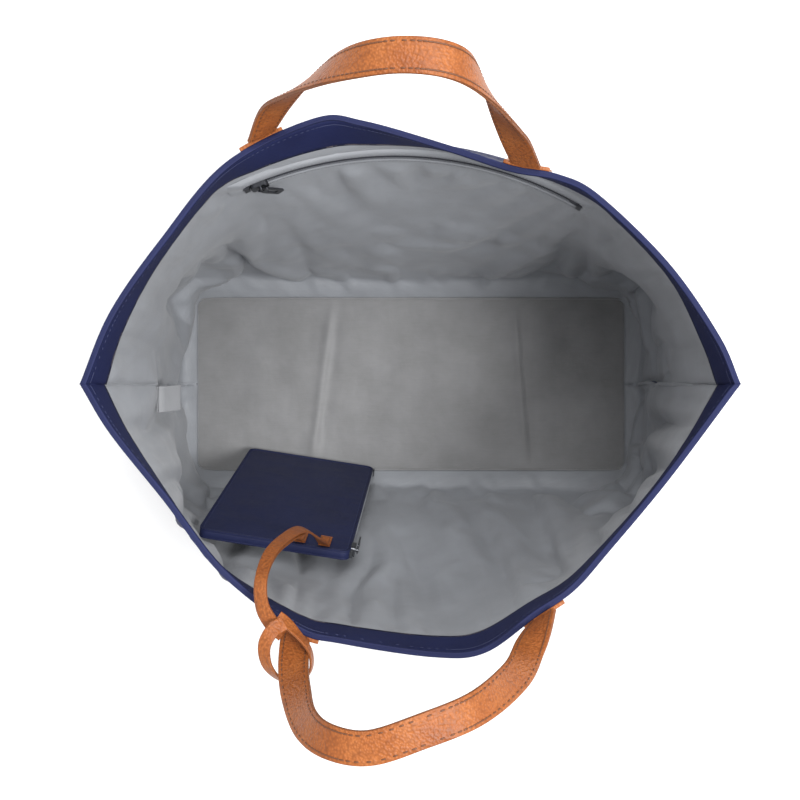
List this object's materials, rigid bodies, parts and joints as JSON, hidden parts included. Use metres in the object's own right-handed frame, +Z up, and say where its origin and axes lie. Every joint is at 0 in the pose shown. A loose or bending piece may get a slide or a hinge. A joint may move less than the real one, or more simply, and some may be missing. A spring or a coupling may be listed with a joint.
{
  "type": "foldable tote bag",
  "caption": "Open foldable tote bag with two leather strap handles, a zip pocket in its lining and a zipped storage pouch on a leather loop strap.",
  "frame": {"origin": "middle of the flat bottom, on the floor", "axes": "+Z up, +Y towards the back wall with the zip pocket, +X to the right as seen from the front"},
  "size_m": [0.4499, 0.405, 0.5114],
  "materials": {
    "navy_nylon": "matte navy woven nylon",
    "pouch_nylon": "matte navy woven nylon, puckered at the seams",
    "grey_lining": "silver grey lining with a soft sheen",
    "tan_leather": "tan pebbled leather",
    "gunmetal": "gunmetal zip hardware",
    "zip_tape": "woven zip tape",
    "zip_coil": "nylon zip coil",
    "label_cloth": "blank satin label",
    "navy_thread": "thread"
  },
  "bodies": {
    "back_handle": {"back_handle_backing": "tan_leather", "back_handle_strap": "tan_leather"},
    "back_wall": {"back_handle_left_foot": "tan_leather", "back_handle_right_foot": "tan_leather", "facing_back_panel": "navy_nylon", "lining_back_panel": "grey_lining", "outer_back_panel": "navy_nylon", "pocket_bag": "grey_lining", "pocket_zip_coil": "zip_coil", "pocket_zip_stops": "gunmetal", "pocket_zip_tape": "zip_tape"},
    "base": {"care_label": "label_cloth", "facing_left_side": "navy_nylon", "facing_right_side": "navy_nylon", "lining_bottom_panel": "grey_lining", "lining_left_side": "grey_lining", "lining_right_side": "grey_lining", "outer_bottom_panel": "navy_nylon", "outer_left_side": "navy_nylon", "outer_right_side": "navy_nylon", "rim_bar_tacks": "navy_thread"},
    "front_wall": {"facing_front_panel": "navy_nylon", "front_handle_left_foot": "tan_leather", "front_handle_right_foot": "tan_leather", "lining_front_panel": "grey_lining", "loop_strap_leg_1": "tan_leather", "loop_strap_leg_2": "tan_leather", "loop_strap_noose": "tan_leather", "outer_front_panel": "navy_nylon"},
    "front_handle": {"front_handle_backing": "tan_leather", "front_handle_strap": "tan_leather"},
    "pouch": {"loop_strap_end_1": "tan_leather", "loop_strap_end_2": "tan_leather", "pouch_back_panel": "pouch_nylon", "pouch_edge_band": "pouch_nylon", "pouch_front_panel": "pouch_nylon", "pouch_zip_coil": "zip_coil", "pouch_zip_stops": "gunmetal", "pouch_zip_tape": "zip_tape"},
    "pocket_pull": {"pocket_zip_pull": "gunmetal"},
    "pocket_slider": {"pocket_zip_slider": "gunmetal"},
    "pouch_pull": {"pouch_zip_pull": "gunmetal"},
    "pouch_slider": {"pouch_zip_slider": "gunmetal"}
  },
  "joints": [
    {"name": "front_wall_close", "type": "hinge", "parent": "base", "child": "front_wall", "pos_m": [0, -0.0865, 0], "axis": [-1, 0, 0], "range_deg": [0, 16], "deforming": ["facing_left_side", "facing_right_side", "lining_left_side", "lining_right_side", "outer_left_side", "outer_right_side"]},
    {"name": "back_wall_close", "type": "hinge", "parent": "base", "child": "back_wall", "pos_m": [0, 0.0865, 0], "axis": [1, 0, 0], "range_deg": [0, 16], "deforming": ["facing_left_side", "facing_right_side", "lining_left_side", "lining_right_side", "outer_left_side", "outer_right_side"]},
    {"name": "front_handle_swing", "type": "hinge", "parent": "front_wall", "child": "front_handle", "pos_m": [0.0005, -0.1765, 0.391], "axis": [0.9964, 0.0847, 0], "range_deg": [-60, 125]},
    {"name": "back_handle_swing", "type": "hinge", "parent": "back_wall", "child": "back_handle", "pos_m": [-0.01, 0.167, 0.391], "axis": [-0.9902, 0.1396, 0], "range_deg": [-60, 125]},
    {"name": "pocket_zip_travel", "type": "hinge", "parent": "back_wall", "child": "pocket_slider", "pos_m": [-0.011, -0.102, 0.309], "axis": [0, 0, -1], "range_deg": [0, 49]},
    {"name": "pocket_pull_flip", "type": "hinge", "parent": "pocket_slider", "child": "pocket_pull", "pos_m": [-0.10772, 0.13983, 0.30978], "axis": [-0.7505, -0.3818, -0.5393], "range_deg": [0, 150]},
    {"name": "pouch_lift", "type": "slide", "parent": "front_wall", "child": "pouch", "axis": [-0.2105, -0.2206, -0.9524], "range_m": [-0.3, 0], "deforming": ["loop_strap_leg_1", "loop_strap_leg_2"]},
    {"name": "pouch_zip_travel", "type": "slide", "parent": "pouch", "child": "pouch_slider", "axis": [0.054, 0.2433, -0.9684], "range_m": [0, 0.185]},
    {"name": "pouch_pull_flip", "type": "hinge", "parent": "pouch_slider", "child": "pouch_pull", "pos_m": [-0.0436, -0.1353, 0.2065], "axis": [-0.1432, -0.9579, -0.2487], "range_deg": [0, 150]}
  ]
}
